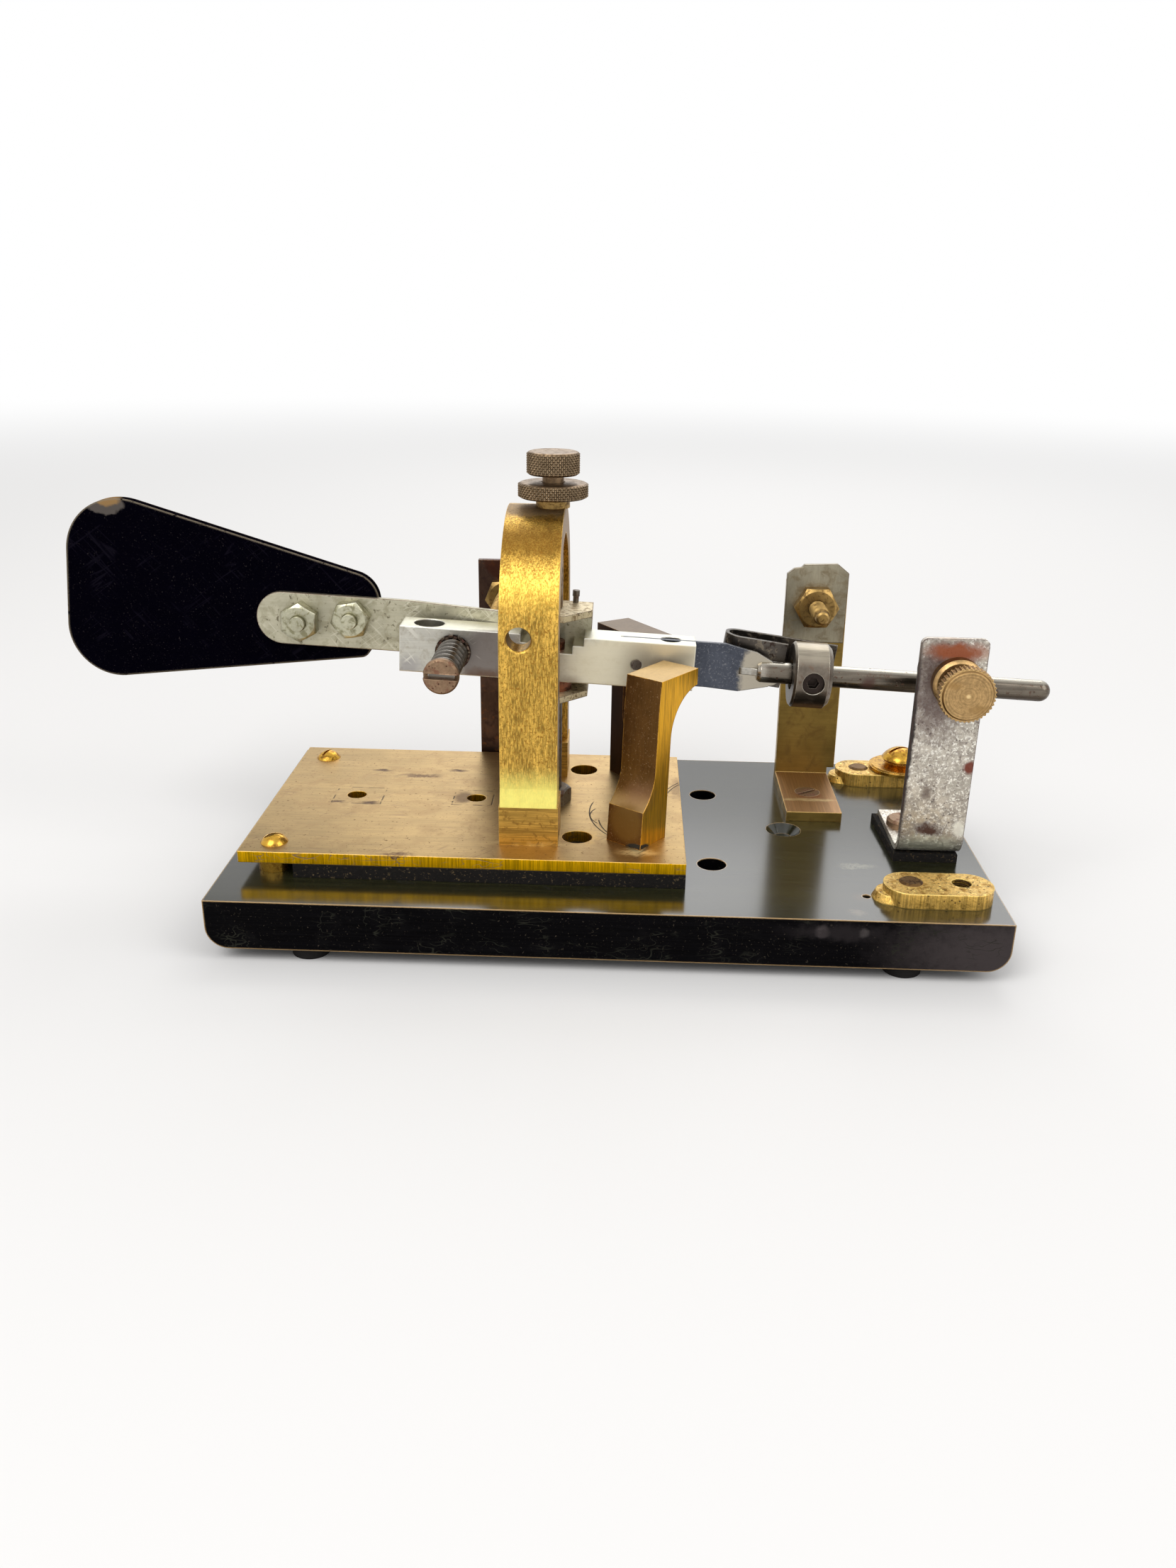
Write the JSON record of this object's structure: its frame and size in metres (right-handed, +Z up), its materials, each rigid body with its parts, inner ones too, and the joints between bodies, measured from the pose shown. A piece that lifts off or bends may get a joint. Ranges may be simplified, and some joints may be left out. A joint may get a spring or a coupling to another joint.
{
  "type": "telegraph key",
  "caption": "Semi-automatic telegraph key: brass hoop holding a pivoted lever with a paddle, a sprung vibrating arm with sliding weight, stop posts, contacts and damper on a black base.",
  "frame": {"origin": "middle of the whole key's length and width, at the bottom of the feet", "axes": "X along the base, the paddle to the left and the vibrating arm to the right; Y to the rear, the front stop post and the open terminal to the front; Z up"},
  "size_m": [0.2242, 0.0888, 0.0993],
  "materials": {
    "base_lacquer": "gloss black lacquer with fine lengthwise grain, worn at the edges",
    "foot_rubber": "dark soft rubber",
    "plug_grey": "dull grey filler",
    "packing_sheet": "coarse black pressed sheet",
    "plate_brass": "satin brass brushed lengthwise, stained",
    "hoop_brass": "coarsely filed brass with bright and tarnished bands",
    "post_brass": "cast brass with dark patina and filed right faces",
    "knob_brass": "knurled brass darkened by age",
    "bright_brass": "turned brass, fairly bright",
    "dark_brass": "nearly brown brass",
    "bracket_brass": "olive stained brass sheet",
    "terminal_brass": "rough cast brass",
    "screw_brass": "worn brass screw heads",
    "screw_steel": "plated steel, dulled",
    "worn_steel": "turned steel with rust pits and worn edges",
    "dark_steel": "blackened steel",
    "blued_steel": "blued spring steel, speckled",
    "zinc_strip": "galvanised sheet, mottled, with rust",
    "galvanised_sheet": "grey-green galvanised sheet",
    "bar_aluminium": "scratched aluminium bar",
    "copper_red": "reddish copper",
    "solder": "dull solder",
    "paddle_fibre": "black pressed fibre with scuffed edges",
    "disc_felt": "dark soft disc"
  },
  "bodies": {
    "key_base": {"base": "base_lacquer", "feet": "foot_rubber", "base_plug": "plug_grey", "plate_pad": "packing_sheet", "mounting_plate": "plate_brass", "plate_spacers": "bright_brass", "plate_screws": "screw_brass", "hoop": "hoop_brass", "hoop_feet": "hoop_brass", "hoop_screws": "screw_steel", "pivot_boss": "hoop_brass", "lower_pivot_screw": "screw_steel", "lower_pivot_nut": "dark_brass", "front_stop_post": "post_brass", "rear_stop_post": "post_brass", "post_screws": "screw_steel", "dot_bracket": "bracket_brass", "dot_bracket_strip": "zinc_strip", "dot_bracket_screw": "screw_brass", "dot_stud_nut": "bright_brass", "dash_bracket": "dark_brass", "dash_bracket_screw": "screw_steel", "dash_stud_nut": "bright_brass", "damper_bracket": "zinc_strip", "damper_bracket_pad": "packing_sheet", "damper_bracket_screw": "dark_brass", "damper_lock_nut": "knob_brass", "front_terminal": "terminal_brass", "rear_terminal": "terminal_brass", "terminal_rivets": "screw_brass", "terminal_washer": "bright_brass"},
    "lever": {"lever_bar": "bar_aluminium", "lever_strip": "galvanised_sheet", "paddle": "paddle_fibre", "paddle_screws": "screw_steel", "paddle_nuts": "screw_steel", "yoke": "galvanised_sheet", "yoke_bush": "copper_red", "yoke_screws": "dark_brass", "pivot_cup": "copper_red", "star_washer": "dark_brass", "spring_pin": "copper_red"},
    "vibrating_arm": {"vibrator_spring": "blued_steel", "solder_joint": "solder", "pendulum_rod": "worn_steel", "dot_spring": "blued_steel", "dot_contact": "solder"},
    "sliding_weight": {"weight": "worn_steel", "weight_set_screw": "dark_steel"},
    "upper_pivot": {"pivot_screw": "knob_brass"},
    "upper_lock_nut": {"pivot_lock_nut": "knob_brass"},
    "adjuster": {"adjusting_screw": "worn_steel"},
    "dot_contact_screw": {"dot_stud": "bright_brass"},
    "dash_contact_screw": {"dash_stud": "bright_brass"},
    "wire_clamp": {"terminal_screw": "bright_brass"},
    "damper_plunger": {"damper_disc": "disc_felt"},
    "damper_knob": {"thumb_screw": "knob_brass"}
  },
  "joints": [
    {"name": "lever_swing", "type": "hinge", "parent": "key_base", "child": "lever", "pos_m": [0.0011, 0, 0.05516], "axis": [0, 0, 1], "range_deg": [-1.2, 2.5], "stiffness_Nm_per_rad": 0.6},
    {"name": "arm_swing", "type": "hinge", "parent": "lever", "child": "vibrating_arm", "pos_m": [0.03446, 0, 0.05364], "axis": [0.0454, 0, 0.999], "range_deg": [-3, 4.5], "stiffness_Nm_per_rad": 0.5, "deforming": ["vibrator_spring"]},
    {"name": "weight_slide", "type": "slide", "parent": "vibrating_arm", "child": "sliding_weight", "axis": [0.999, 0, -0.0454], "range_m": [0, 0.012]},
    {"name": "upper_pivot_turn", "type": "hinge", "parent": "key_base", "child": "upper_pivot", "pos_m": [0.0011, 0, 0.095], "axis": [0, 0, 1], "range_deg": [-90, 90]},
    {"name": "lock_nut_turn", "type": "hinge", "parent": "key_base", "child": "upper_lock_nut", "pos_m": [0.0011, 0, 0.0913], "axis": [0, 0, 1], "range_deg": [-90, 90]},
    {"name": "adjuster_turn", "type": "hinge", "parent": "lever", "child": "adjuster", "pos_m": [-0.02058, 0, 0.05614], "axis": [0, 1, 0], "range_deg": [-90, 90]},
    {"name": "dot_screw_turn", "type": "hinge", "parent": "key_base", "child": "dot_contact_screw", "pos_m": [0.06335, 0.0314, 0.0602], "axis": [0, 1, 0], "range_deg": [-90, 90]},
    {"name": "dash_screw_turn", "type": "hinge", "parent": "key_base", "child": "dash_contact_screw", "pos_m": [-0.0126, 0.0332, 0.0602], "axis": [0, 1, 0], "range_deg": [-90, 90]},
    {"name": "wire_screw_turn", "type": "hinge", "parent": "key_base", "child": "wire_clamp", "pos_m": [0.0888, 0.0335, 0.0186], "axis": [0, 0, 1], "range_deg": [-90, 90]},
    {"name": "damper_slide", "type": "slide", "parent": "key_base", "child": "damper_plunger", "axis": [0, -1, 0], "range_m": [0, 0.0024]},
    {"name": "damper_turn", "type": "hinge", "parent": "damper_plunger", "child": "damper_knob", "pos_m": [0.0865, -0.02, 0.0563], "axis": [0, -1, 0], "range_deg": [0, 1080]}
  ],
  "couplings": [
    {"joint": "damper_turn", "follows": "damper_slide", "rad_per_m": 7854}
  ]
}
